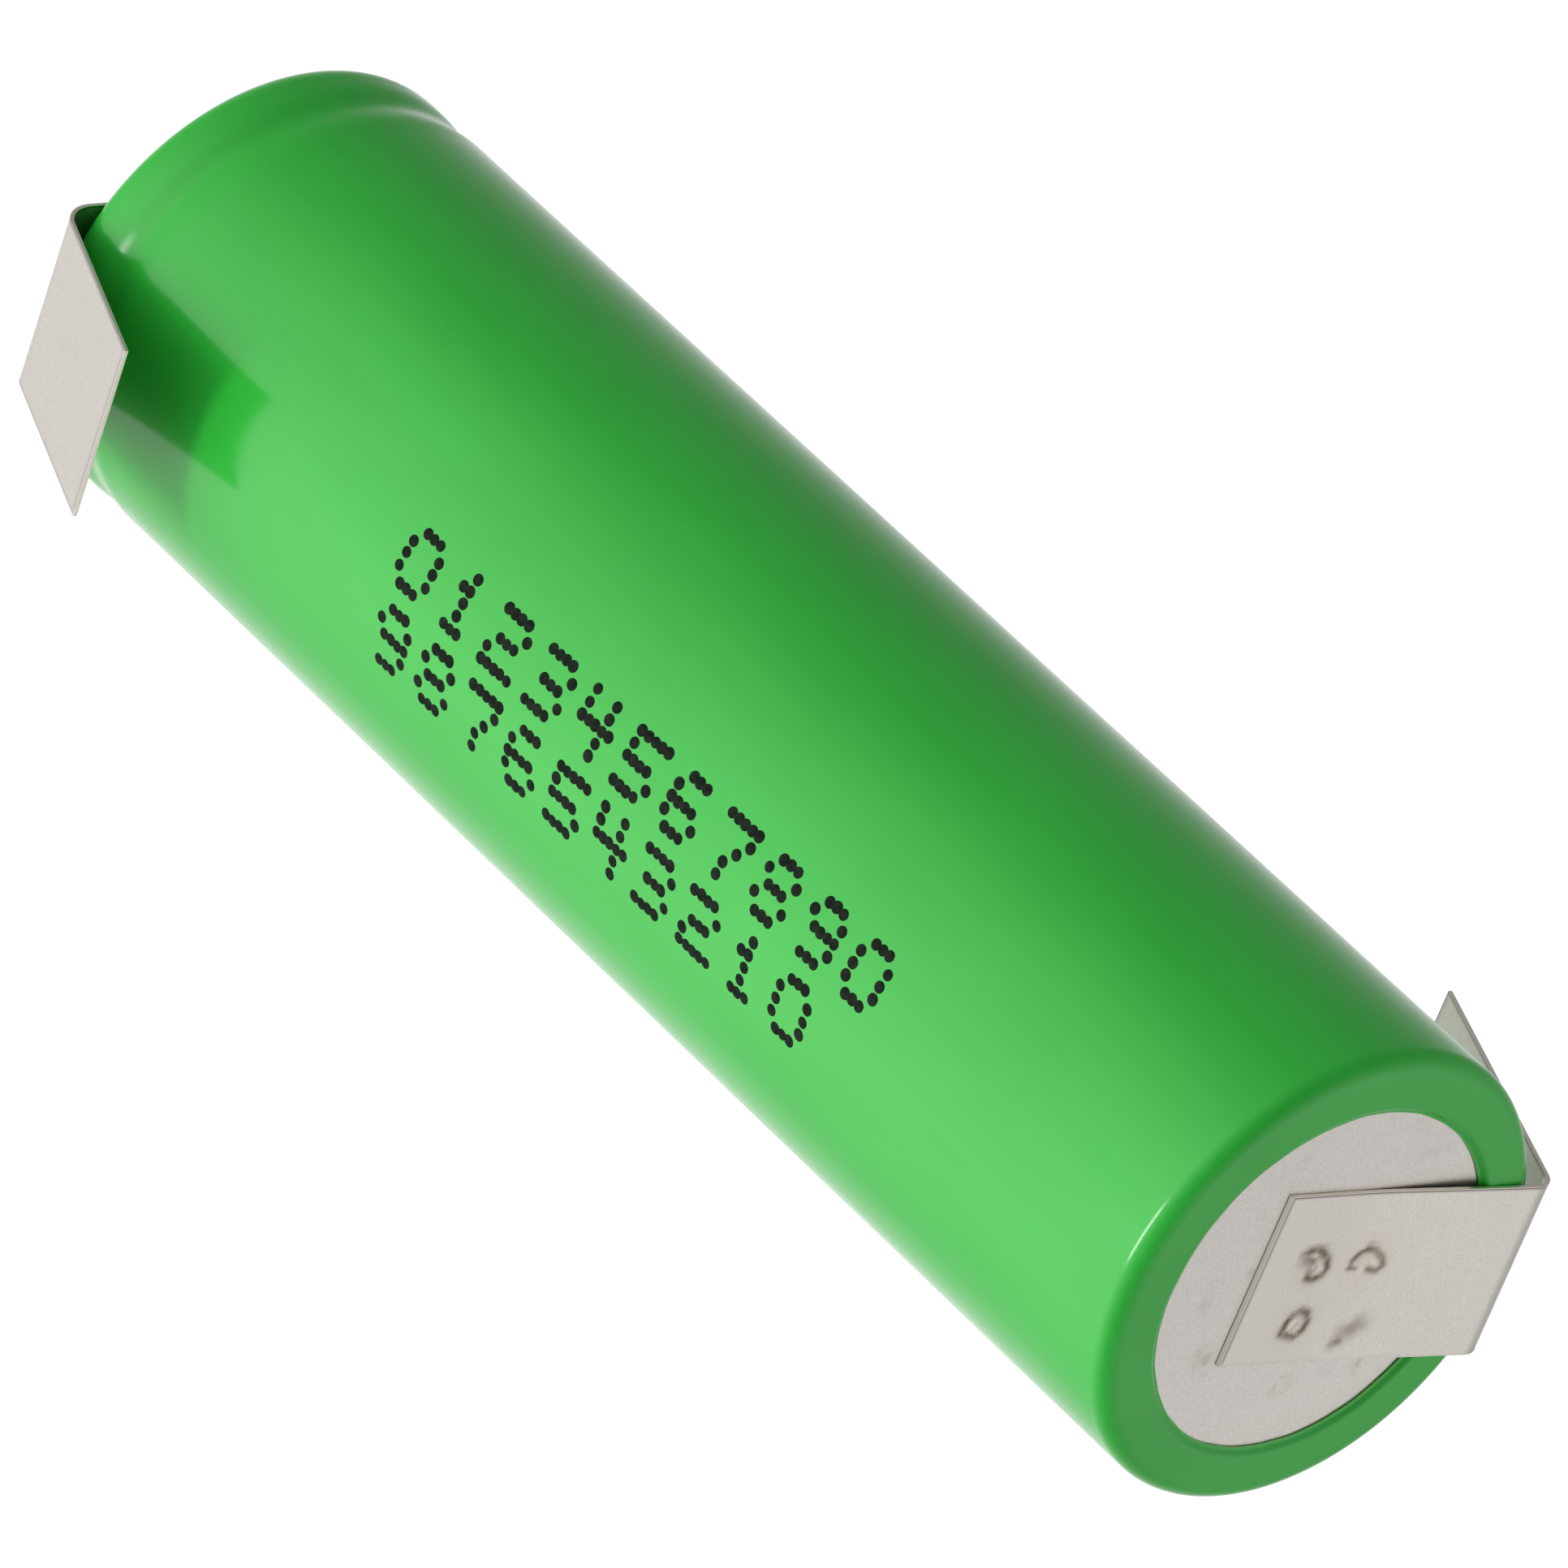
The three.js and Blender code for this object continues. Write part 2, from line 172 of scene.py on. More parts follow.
def turned_mesh(outline, warp=None):
    """Points and faces of a closed outline (r, z) turned round the axis; warp moves the radii."""
    angles = np.arange(SEGMENTS) * 2 * math.pi / SEGMENTS
    points, rows = [], []
    for r, z in outline:
        if r < ON_AXIS:
            rows.append([len(points)] * SEGMENTS)
            points.append((0, 0, z))
            continue
        radii = np.full(SEGMENTS, r) if warp is None else warp(r, z, angles)
        rows.append(list(range(len(points), len(points) + SEGMENTS)))
        points.extend(zip(radii * np.cos(angles), radii * np.sin(angles), np.full(SEGMENTS, z)))
    closed = outline[0][0] > ON_AXIS
    faces = []
    for i in range(len(rows) if closed else len(rows) - 1):
        a, b = rows[i], rows[(i + 1) % len(rows)]
        for k in range(SEGMENTS):
            n = (k + 1) % SEGMENTS
            corners = list(dict.fromkeys((a[k], a[n], b[n], b[k])))
            if len(corners) > 2:
                faces.append(corners)
    return np.array(points), faces


def turned(name, outline, material, nodes, warp=None):
    points, faces = turned_mesh(outline, warp)
    return piece(name, to_row(points), faces, material, nodes=nodes)


def set_attribute(obj, name, values):
    """A number for each vertex that its material reads."""
    obj.data.attributes.new(name, "FLOAT", "POINT").data.foreach_set("value", np.asarray(values, np.float32))


# Materials --------------------------------------------------------------------------------------------

class Surface:
    """A Principled material, with short-hands for the noise that varies it."""

    def __init__(self, name, colour, roughness, metallic=0.0):
        self.material = bpy.data.materials.new(name)
        self.material.use_nodes = True
        self.tree = self.material.node_tree
        self.shader = self.tree.nodes["Principled BSDF"]
        self.set("Base Color", (*colour, 1))
        self.set("Roughness", roughness)
        self.set("Metallic", metallic)
        self.set("IOR", 1.5)
        self.place = self.tree.nodes.new("ShaderNodeTexCoord").outputs["Object"]

    def set(self, socket, value):
        """A number, a colour or another node's output on one of the shader's sockets."""
        self.put(self.shader.inputs[socket], value)

    def put(self, socket, value):
        if isinstance(value, bpy.types.NodeSocket):
            self.tree.links.new(value, socket)
        else:
            socket.default_value = value

    def noise(self, size, stretch=(1, 1, 1), detail=3):
        """Noise from 0 to 1 whose features are about size millimetres across, times stretch on each axis."""
        scaled = self.tree.nodes.new("ShaderNodeVectorMath")
        scaled.operation = "MULTIPLY"
        self.put(scaled.inputs[0], self.place)
        self.put(scaled.inputs[1], [1 / (size * MM * s) for s in stretch])
        node = self.tree.nodes.new("ShaderNodeTexNoise")
        self.put(node.inputs["Vector"], scaled.outputs[0])
        node.inputs["Scale"].default_value = 1
        node.inputs["Detail"].default_value = detail
        return node.outputs["Fac"]

    def range(self, value, low, high, a=0.0, b=1.0):
        """Takes a value between low and high to one between a and b, eased at both ends."""
        node = self.tree.nodes.new("ShaderNodeMapRange")
        node.interpolation_type = "SMOOTHSTEP"
        for socket, number in zip(node.inputs, (value, low, high, a, b)):
            self.put(socket, number)
        return node.outputs[0]

    def math(self, operation, a, b):
        node = self.tree.nodes.new("ShaderNodeMath")
        node.operation = operation
        self.put(node.inputs[0], a)
        self.put(node.inputs[1], b)
        return node.outputs[0]

    def mix(self, factor, a, b):
        """Colour a where factor is 0 and b where it is 1."""
        node = self.tree.nodes.new("ShaderNodeMix")
        node.data_type = "RGBA"
        self.put(node.inputs["Factor"], factor)
        for socket, colour in zip((node.inputs[6], node.inputs[7]), (a, b)):
            self.put(socket, (*colour, 1) if isinstance(colour, tuple) else colour)
        return node.outputs[2]

    def spot(self, centre, radius, softness):
        """1 in the middle of a ball in the row frame, in metres, fading to 0 at its radius."""
        node = self.tree.nodes.new("ShaderNodeVectorMath")
        node.operation = "DISTANCE"
        self.put(node.inputs[0], self.place)
        self.put(node.inputs[1], tuple(centre))
        return self.range(node.outputs["Value"], radius, radius * softness)

    def attribute(self, name):
        node = self.tree.nodes.new("ShaderNodeAttribute")
        node.attribute_name = name
        return node.outputs["Fac"]

    def bump(self, levels, distance):
        """Raises the surface by a height from 0 to 1 times distance, in millimetres, over what is there."""
        node = self.tree.nodes.new("ShaderNodeBump")
        node.inputs["Strength"].default_value = 1
        node.inputs["Distance"].default_value = distance * MM
        self.put(node.inputs["Height"], levels)
        if self.shader.inputs["Normal"].is_linked:
            self.put(node.inputs["Normal"], self.shader.inputs["Normal"].links[0].from_socket)
        self.set("Normal", node.outputs["Normal"])


def film_material():
    """Glossy heat-shrunk film: faint draw lines along the cell, soft waves, thin pale cut edges."""
    s = Surface("green_film", (0.04, 0.56, 0.055), 0.17)
    cloud = s.noise(6, (3, 1, 1), 2)
    green = s.mix(s.range(cloud, 0.35, 0.65), (0.033, 0.545, 0.052), (0.039, 0.585, 0.061))
    streaks = s.noise(0.5, (40, 1, 1), 3)
    green = s.mix(s.range(streaks, 0.3, 0.8, 0, 0.12), green, (0.06, 0.62, 0.07))
    s.set("Base Color", s.mix(s.attribute("cut_edge"), green, (0.30, 0.72, 0.10)))
    s.set("Roughness", s.range(s.noise(1.4, (4, 1, 1), 4), 0.3, 0.7, 0.13, 0.19))
    s.bump(s.noise(9, (3, 1, 1), 1), 0.02)
    s.bump(s.noise(0.35, (6, 1, 1), 2), 0.0012)
    return s.material


CAN_STAINS = [  # x, y and radius on the can's end face
    (-3.9, 2.9, 0.8), (-3.7, 3.5, 0.6), (0.5, 4.3, 0.9),
    (-3.9, -2.6, 0.5), (-3.4, -0.5, 0.4), (4.0, 3.8, 0.7),
]


def can_material():
    """Nickel-plated steel: fine satin grain, with faint handling stains."""
    s = Surface("can_steel", (0.75, 0.72, 0.69), 0.4, 1.0)
    grain = s.noise(0.06, detail=5)
    cloud = s.noise(2.6, detail=4)
    steel = s.mix(s.range(grain, 0.3, 0.7), (0.70, 0.665, 0.625), (0.82, 0.78, 0.74))
    stained = s.mix(s.range(cloud, 0.6, 0.78, 0, 0.3), steel, (0.46, 0.42, 0.38))
    for x, y, radius in CAN_STAINS:
        centre = to_row([(x, y, height("steel_can", 0))])[0]
        broken = s.range(s.noise(0.5, detail=4), 0.35, 0.7)
        mark = s.math("MULTIPLY", s.spot(centre, radius * MM, 0.1), broken)
        stained = s.mix(s.math("MULTIPLY", mark, 0.45), stained, (0.42, 0.36, 0.31))
    s.set("Base Color", stained)
    s.set("Roughness", s.range(s.noise(0.4, detail=4), 0.3, 0.7, 0.385, 0.43))
    s.bump(grain, 0.004)
    return s.material


def nickel_material():
    """Rolled nickel strip: fine grain, a dark line inside the edges that is partly burr and partly painted
    shade, cut faces painted bright as a painted highlight, heat tint at the welds.
    """
    s = Surface("rolled_nickel", (0.76, 0.73, 0.69), 0.38, 1.0)
    grain = s.noise(0.07, detail=5)
    nickel = s.mix(s.range(grain, 0.3, 0.7), (0.71, 0.67, 0.62), (0.82, 0.78, 0.73))
    nickel = s.mix(s.range(s.noise(1.8, detail=3), 0.5, 0.8, 0, 0.15), nickel, (0.62, 0.57, 0.52))
    nickel = s.mix(s.math("MULTIPLY", s.attribute("halo"), 0.3), nickel, (0.62, 0.54, 0.44))
    uneven = s.range(s.noise(0.45, detail=4), 0.3, 0.6, 0.6, 1)
    scorched = s.math("MULTIPLY", s.attribute("scorch"), uneven)
    nickel = s.mix(scorched, nickel, (0.19, 0.14, 0.095))
    # Painted shade: the dark line inside the edges is partly a burr and partly shade painted in for the
    # shaded gap under the strip and its cut face
    nickel = s.mix(s.math("MULTIPLY", s.attribute("burr_and_shade"), 0.85), nickel, (0.14, 0.10, 0.07))
    # Painted highlight: the cut faces are coloured near white and cream, as if catching the light
    nickel = s.mix(s.attribute("cut_face_highlight"), nickel, (0.98, 0.91, 0.82))
    s.set("Base Color", nickel)
    s.set("Roughness", s.range(s.noise(0.3, detail=4), 0.3, 0.7, 0.37, 0.41))
    s.bump(grain, 0.004)
    return s.material


def ink_material():
    """Dried marking ink, matt and a little uneven."""
    s = Surface("marking_ink", (0.01, 0.018, 0.01), 0.6)
    s.set("Specular IOR Level", 0.06)
    thick = s.range(s.noise(0.3), 0.35, 0.7)
    s.set("Base Color", s.mix(thick, (0.006, 0.012, 0.007), (0.016, 0.026, 0.016)))
    s.bump(s.noise(0.08), 0.003)
    return s.material


def metal(name, colour, roughness):
    """Plain sheet metal with a fine grain and slight clouding."""
    s = Surface(name, colour, roughness, 1.0)
    grain, cloud = 0.15, 0.6
    darker = tuple(0.86 * c for c in colour)
    s.set("Base Color", s.mix(s.range(s.noise(grain, detail=5), 0.3, 0.7), darker, colour))
    s.set("Roughness", s.range(s.noise(cloud), 0.3, 0.7, roughness - 0.05, roughness + 0.06))
    s.bump(s.noise(grain, detail=4), 0.003)
    return s.material


def fibre(name, colour, roughness, size=0.25, relief=0.01):
    """Board, coating, film or moulded plastic: fine mottling with a matching relief."""
    s = Surface(name, colour, roughness)
    darker = tuple(0.8 * c for c in colour)
    mottle = s.noise(size, detail=5)
    s.set("Base Color", s.mix(s.range(mottle, 0.3, 0.7), darker, colour))
    s.set("Roughness", s.range(s.noise(3 * size), 0.3, 0.7, roughness - 0.08, min(1.0, roughness + 0.08)))
    s.bump(mottle, relief)
    return s.material


FILM = film_material()
CAN = can_material()
NICKEL = nickel_material()
INK = ink_material()

# Sleeve -----------------------------------------------------------------------------------------------
FILM_THICKNESS = 0.07
LIP_RADIUS = {"negative": 6.9, "positive": 7.2}
LIP_FALL = 0.3  # the lip falls to the can's floor over this breadth
CUT_FACE = 0.015  # how far from a lip's inner edge the outer face starts
LIP_RISE = 0.005, 0.03  # how far the lip has risen there and a third of the way out
SIDE_STEP = 4  # between the rings of points along the side
RECESS = 0.12  # the end face lies this far inside the can's rim
LIP_GAP = 0.003
CAN_RIM, CAN_TOP = height("steel_can", 0), height("steel_can", 1)
CAN_FLOOR = CAN_RIM + RECESS
LIP_DEPTH = CAN_FLOOR - FILM_THICKNESS - LIP_GAP  # where the lip rests on the can's floor
BEAD = 62.0  # where the groove that is rolled into the can lies
BEAD_SPAN = -2.6, 1.7  # how far the film's dip and its shoulders reach on either side
BEAD_DIP, BEAD_HALF_WIDTH = 0.15, 0.7
SHOULDER_HEIGHT, SHOULDER_HALF_WIDTH = 0.012, 0.45
SHOULDERS = -1.3, 1.0
RIPPLE = 0.035  # how far a lip puckers
RIPPLE_START = 0.3  # in from the side


def bead_line():
    """The film's side where it spans the can's bead: a dip between two low shoulders."""
    z = np.arange(BEAD + BEAD_SPAN[0], BEAD + BEAD_SPAN[1], 0.1)
    dip = BEAD_DIP * np.exp(-((z - BEAD) / BEAD_HALF_WIDTH) ** 2)
    swells = [np.exp(-((z - BEAD - place) / SHOULDER_HALF_WIDTH) ** 2) for place in SHOULDERS]
    return list(zip(RADIUS - dip + sum(SHOULDER_HEIGHT * swell for swell in swells), z))


def shrink_ripple(r, z, angles):
    """The film puckers a little where it was drawn in over the ends."""
    inward = max(0.0, RADIUS - RIPPLE_START - r) / (RADIUS - LIP_RADIUS["negative"])
    phase = 0.4 if z < LENGTH / 2 else 2.1
    waves = 0.5 * np.sin(7 * angles + phase) + 0.3 * np.sin(17 * angles - phase) + 0.2 * np.sin(31 * angles)
    return r + RIPPLE * inward ** 2 * waves


sleeve_outline = shell([
    (LIP_RADIUS["negative"], LIP_DEPTH),
    (LIP_RADIUS["negative"] + CUT_FACE, LIP_DEPTH - LIP_RISE[0]),
    (LIP_RADIUS["negative"] + LIP_FALL / 3, LIP_DEPTH - LIP_RISE[1], 0.08),
    (LIP_RADIUS["negative"] + LIP_FALL, 0.0, 0.3),
    (RADIUS, 0.0, 0.8),
    *[(RADIUS, z) for z in np.arange(SIDE_STEP, BEAD + BEAD_SPAN[0], SIDE_STEP)],
    *bead_line(),
    (RADIUS, LENGTH, 1.25),
    (LIP_RADIUS["positive"] + CUT_FACE, LENGTH),
    (LIP_RADIUS["positive"], LENGTH),
], FILM_THICKNESS)
sleeve = turned("shrink_sleeve_film", sleeve_outline, FILM, ["shrink_sleeve"],
                warp=shrink_ripple)


def cut_edge_share():
    """1 on the film's cut faces and 0 elsewhere."""
    lips = [LIP_RADIUS["negative" if z < LENGTH / 2 else "positive"] for _, z in sleeve_outline]
    share = [float(r < lip + CUT_FACE / 2) for (r, _), lip in zip(sleeve_outline, lips)]
    return np.repeat(share, SEGMENTS)


set_attribute(sleeve, "cut_edge", cut_edge_share())

# Can --------------------------------------------------------------------------------------------------
CAN_RADIUS = node_radius("steel_can")
CAN_WALL = 0.25
CAN_FLOOR_RADIUS, CAN_RIM_RADIUS, CRIMP_LIP_RADIUS = 7.1, 7.7, 6.9
NOSE = CAN_RADIUS - 0.85  # how near the axis the bead reaches
NOSE_HALF, BEAD_HALF = 0.25, 0.75  # half the bead's breadth at its bottom and at the can's side
can_outline = shell([
    (0, CAN_FLOOR),
    (CAN_FLOOR_RADIUS, CAN_FLOOR, 0.3),
    (CAN_RIM_RADIUS, CAN_RIM, 0.5),
    (CAN_RADIUS, CAN_RIM, 0.65),
    (CAN_RADIUS, BEAD - BEAD_HALF, 0.25),
    (NOSE, BEAD - NOSE_HALF, 0.2),
    (NOSE, BEAD + NOSE_HALF, 0.2),
    (CAN_RADIUS, BEAD + BEAD_HALF, 0.25),
    (CAN_RADIUS, CAN_TOP, 1.1),
    (CRIMP_LIP_RADIUS, CAN_TOP),
], CAN_WALL)
turned("can", can_outline, CAN, ["steel_can"])

# Positive end, seen inside the sleeve's lip --------------------------------------------------------------


def box_outline(node, inner, edge=0.04):
    """A flat ring that fills a CAD node's height, with slightly broken edges."""
    bottom, top, outer = height(node, 0), height(node, 1), node_radius(node)
    ring = [(inner, bottom, edge), (outer, bottom, edge), (outer, top, edge), (inner, top, edge)]
    return rounded([ring[-1][:2], *ring, ring[0][:2]])[1:-1]


WASHER_HOLE_RADIUS = 5.9
washer_board = fibre("washer_board", (0.72, 0.72, 0.68), 0.7)
turned("top_washer", box_outline("top_insulating_washer", WASHER_HOLE_RADIUS), washer_board,
       ["top_insulating_washer"])

CAP_SHEET = 0.3
CAP_FLAT_RADIUS, CAP_SHOULDER_RADIUS = 4.9, 5.3
VENT_COUNT, VENT_RADIUS = 4, 0.45


def keep_modified(obj):
    """Puts what an object's modifiers make of its mesh in the mesh itself."""
    depsgraph = bpy.context.evaluated_depsgraph_get()
    finished = bpy.data.meshes.new_from_object(obj.evaluated_get(depsgraph))
    obj.modifiers.clear()
    obj.data = finished


def drill(obj, centres, radius, low, high):
    """Round holes along the axis, cut into a finished piece."""
    segments = 24
    turn = np.arange(segments) * 2 * math.pi / segments
    points, faces = [], []
    for cx, cy in centres:
        first = len(points)
        for z in (low, high):
            points += [(cx + radius * math.cos(a), cy + radius * math.sin(a), z) for a in turn]
        bottom = list(range(first, first + segments))
        top = [i + segments for i in bottom]
        faces += [(a, b, b + segments, a + segments) for a, b in zip(bottom, bottom[1:] + bottom[:1])]
        faces += [bottom[::-1], top]
    mesh = bpy.data.meshes.new("drill")
    mesh.from_pydata([tuple(p) for p in to_row(points)], [], faces)
    cutter = bpy.data.objects.new("drill", mesh)
    bpy.context.scene.collection.objects.link(cutter)
    hole = obj.modifiers.new("holes", "BOOLEAN")
    hole.operation = "DIFFERENCE"
    hole.solver = "EXACT"
    hole.object = cutter
    keep_modified(obj)
    bpy.data.objects.remove(cutter)
    obj.data.set_sharp_from_angle(angle=SHARP_ANGLE)


cap_top = height("positive_cap", 1)
cap_flange = height("positive_cap", 0) + CAP_SHEET
cap_outline = shell([
    (node_radius("positive_cap"), cap_flange),
    (CAP_SHOULDER_RADIUS, cap_flange, 0.25),
    (CAP_FLAT_RADIUS, cap_top, 0.35),
    (0, cap_top),
], CAP_SHEET)
cap_steel = metal("cap_steel", (0.6, 0.58, 0.55), 0.36)
cap = turned("cap", cap_outline, cap_steel, ["positive_cap"])
vent_ring = (CAP_FLAT_RADIUS + CAP_SHOULDER_RADIUS) / 2
vent_angles = [2 * math.pi * (k + 0.5) / VENT_COUNT for k in range(VENT_COUNT)]
vents = [(vent_ring * math.cos(a), vent_ring * math.sin(a)) for a in vent_angles]
drill(cap, vents, VENT_RADIUS, cap_flange - 1, cap_top + 1)

# Solder tabs ------------------------------------------------------------------------------------------
# In a tab's own frame x runs outward from the axis, y across the strip and z away from the end face.
STRIP_THICKNESS = 0.15
STRIP_WIDTH = 7.0
INNER_END = -3.1
SEAT_GAP = 0.01  # between the strip and what it is welded to
RISE_START, RISE_EASE = -0.2, 2.4  # where the strip starts to leave the end face, and over what length
BURR_HEIGHT, BURR_WIDTH = 0.012, 0.045
BURR_AND_SHADE_LINE, BURR_AND_SHADE_LINE_WIDTH = 0.06, 0.035  # the dark line just inside each edge: partly burr, partly painted shade
FAINT_BURR_AND_SHADE = 0.3  # of its strength along one edge, where less shade is painted
SHEAR = 0.08  # how far the cut at the inner end slopes
EDGE_BEVEL = 0.02
EDGE_STEPS = 0.0, 0.03, 0.06, 0.1  # where the points beside an edge lie
FINE_STEP, COARSE_STEP = 0.055, 0.3  # between points over the welds and elsewhere
BEND_STEPS = 20
TABS = {
    "negative": {"lean": 23.6, "leg": 12.0, "bend": 1.0, "seat": CAN_FLOOR - SEAT_GAP, "end": 0.0},
    "positive": {"lean": 22.4, "leg": 8.7, "bend": 1.5, "seat": LENGTH - cap_top - SEAT_GAP, "end": LENGTH},
}
# Molten rims of the four spot welds: points along each, half its breadth and how dark it is
WELD_RIMS = [
    ([(-1.07, .53), (-1.14, .87), (-.85, .98), (-.39, .91), (0, .58), (.16, .21), (.04, -.08), (-.29, -.25),
      (-.62, -.16)], 0.18, 1.0),
    ([(-.99, .65), (-.71, .51), (-.52, .2), (-.59, 0)], 0.21, 0.8),
    ([(1.26, .17), (1.25, .43), (1.43, .69), (1.7, .92)], 0.14, 1.0),
    ([(1.7, .92), (2.15, .84), (2.62, .52), (2.79, .21), (2.59, 0), (2.18, .05)], 0.16, 0.85),
    ([(1.26, .17), (1.42, .12), (1.58, .09)], 0.09, 0.7),
    ([(-.67, -2.48), (-.63, -2), (-.46, -1.69), (-.19, -1.53), (.19, -1.65), (.37, -2.01), (.31, -2.37),
      (.03, -2.64), (-.36, -2.56), (-.67, -2.48)], 0.17, 1.0),
    ([(2.05, -3.0), (2.3, -2.9)], 0.22, 0.75),
    ([(2.25, -2.65), (2.55, -2.45), (2.9, -2.25)], 0.42, 0.6),
]
WELD_SHIFT = (-0.13, 0.22)
WELD_PITS = [(-0.45, 0.25, 0.38), (2.0, 0.45, 0.5), (-0.15, -2.15, 0.4)]  # place and radius
WELD_GLINTS = [(-0.58, 0.71, 0.1), (-0.42, 0.2, 0.12), (-0.15, -2.1, 0.14), (-0.25, -2.3, 0.12)]
WELDED_X, WELDED_Y = (-1.4, 3.3), (-3.1, 1.2)  # the part of the strip that the welds reach
RIM_HEIGHT, PIT_DEPTH, GLINT_HEIGHT = 0.016, 0.03, 0.02
HALO_SPREAD = 2.4  # times the pit's radius
GLINT_BARE = 0.9  # how much of the scorch a glint clears


def distance_to_line(x, y, line):
    """From places on the strip to the nearest point of a broken line."""
    nearest = np.full(x.shape, np.inf)
    for (ax, ay), (bx, by) in zip(line, line[1:]):
        dx, dy = bx - ax, by - ay
        t = np.clip(((x - ax) * dx + (y - ay) * dy) / (dx * dx + dy * dy), 0, 1)
        nearest = np.minimum(nearest, np.hypot(x - ax - t * dx, y - ay - t * dy))
    return nearest


def weld_marks(x, y):
    """Height, scorch and halo of the spot welds at places on the strip."""
    x, y = x - WELD_SHIFT[0], y - WELD_SHIFT[1]
    rise, scorch, halo = np.zeros_like(x), np.zeros_like(x), np.zeros_like(x)
    for line, breadth, dark in WELD_RIMS:
        mark = np.exp(-(distance_to_line(x, y, line) / breadth) ** 2)
        rise += RIM_HEIGHT * dark * mark
        scorch = np.maximum(scorch, dark * mark)
    for cx, cy, radius in WELD_PITS:
        distance = np.hypot(x - cx, y - cy)
        rise -= PIT_DEPTH * np.exp(-(distance / radius) ** 4)
        halo = np.maximum(halo, np.exp(-(distance / (HALO_SPREAD * radius)) ** 2))
    for cx, cy, radius in WELD_GLINTS:
        glint = np.exp(-(np.hypot(x - cx, y - cy) / radius) ** 2)
        rise += GLINT_HEIGHT * glint
        scorch = scorch * (1 - GLINT_BARE * glint)
    return rise, scorch, halo


def strip_spacing(low, high, fine_low=0.0, fine_high=0.0):
    """Places from low to high, close together at both edges and between fine_low and fine_high."""
    edges = [low + step for step in EDGE_STEPS] + [high - step for step in EDGE_STEPS]
    middle, here = [], low + 2 * EDGE_STEPS[-1]
    while here < high - 1.5 * EDGE_STEPS[-1]:
        middle.append(here)
        here += FINE_STEP if fine_low < here < fine_high else COARSE_STEP
    return np.array(sorted(edges + middle))


def strip_stations(spec, pin_x, pin_z):
    """Place and outward normal (x, z, x, z) along the inner face, and how many come before the bend."""
    bent = math.radians(90 - spec["lean"])
    outer = spec["bend"] + STRIP_THICKNESS
    centre_x, centre_z = pin_x - outer * math.sin(bent), pin_z - outer * math.cos(bent)
    seat = -spec["seat"]
    tilt = 0.0
    for _ in range(6):  # settles on the straight rise that is tangent to the bend
        tangent_x = centre_x - spec["bend"] * math.sin(tilt)
        tangent_z = centre_z + spec["bend"] * math.cos(tilt)
        tilt = math.atan((tangent_z - seat) / (tangent_x - RISE_START - RISE_EASE / 2))
    xs = strip_spacing(INNER_END, tangent_x, *WELDED_X)
    climbed = np.clip(xs - RISE_START, 0, None)
    eased = np.where(climbed < RISE_EASE, climbed ** 2 / (2 * RISE_EASE), climbed - RISE_EASE / 2)
    flat_z = seat + math.tan(tilt) * eased
    slope = np.gradient(flat_z, xs)
    stations = [(x, z, -g / math.hypot(1, g), 1 / math.hypot(1, g)) for x, z, g in zip(xs, flat_z, slope)]
    for angle in np.linspace(-tilt, bent, BEND_STEPS + 1)[1:]:
        s, c = math.sin(angle), math.cos(angle)
        stations.append((centre_x + spec["bend"] * s, centre_z + spec["bend"] * c, s, c))
    x0, z0, nx, nz = stations[-1]
    for d in strip_spacing(0, spec["leg"])[1:]:
        stations.append((x0 + d * nz, z0 - d * nx, nx, nz))
    return np.array(stations), len(xs)


def strip_faces(n, m):
    """Faces of a sheet of two layers, each with n stations of m points, closed round its edges."""
    def at(layer, i, j):
        return layer * n * m + i * m + j

    faces = []
    for i in range(n - 1):
        for j in range(m - 1):
            faces.append((at(0, i, j), at(0, i, j + 1), at(0, i + 1, j + 1), at(0, i + 1, j)))
            faces.append((at(1, i, j), at(1, i + 1, j), at(1, i + 1, j + 1), at(1, i, j + 1)))
        for j in (0, m - 1):
            faces.append((at(0, i, j), at(0, i + 1, j), at(1, i + 1, j), at(1, i, j)))
    for j in range(m - 1):
        for i in (0, n - 1):
            faces.append((at(0, i, j), at(1, i, j), at(1, i, j + 1), at(0, i, j + 1)))
    return faces


